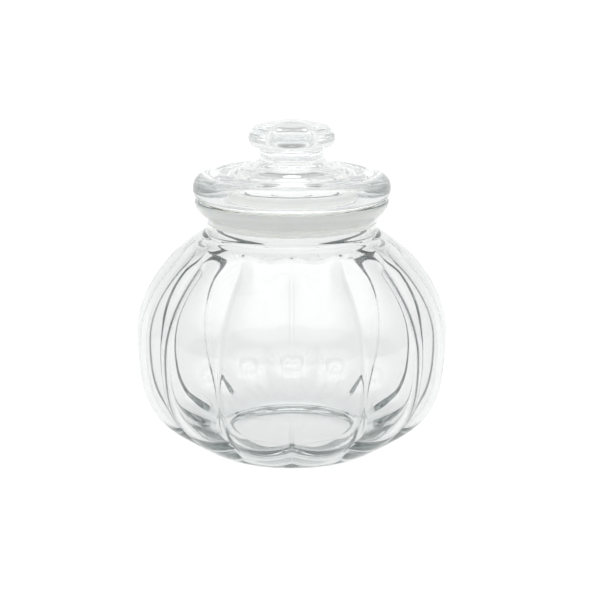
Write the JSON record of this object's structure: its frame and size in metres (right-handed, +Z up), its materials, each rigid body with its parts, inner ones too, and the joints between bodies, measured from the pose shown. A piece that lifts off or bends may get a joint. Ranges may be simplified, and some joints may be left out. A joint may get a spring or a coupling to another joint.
{
  "type": "apothecary jar",
  "caption": "Pumpkin-shaped clear glass storage jar with a lobed belly, a stepped glass lid with a hollow knob, and a pale soft sealing ring.",
  "frame": {"origin": "middle of the foot ring, on the surface the jar stands on", "axes": "+Z up along the axis that jar, ring and lid share; -Y is the front, where a groove between two lobes faces"},
  "size_m": [0.159, 0.1586, 0.1675],
  "materials": {
    "jar_glass": "clear pressed glass with a faint grey-green tint",
    "lid_glass": "clear pressed glass with a faint grey-green tint",
    "seal_plastic": "satin translucent off-white silicone"
  },
  "bodies": {
    "jar": {"jar": "jar_glass"},
    "ring": {"seal_ring": "seal_plastic"},
    "lid": {"lid": "lid_glass"}
  },
  "joints": [
    {"name": "lid_lift", "type": "slide", "parent": "jar", "child": "ring", "axis": [0, 0, 1], "range_m": [0, 0.04]},
    {"name": "lid_turn", "type": "hinge", "parent": "ring", "child": "lid", "pos_m": [0, 0, 0.128], "axis": [0, 0, 1], "continuous": true}
  ]
}
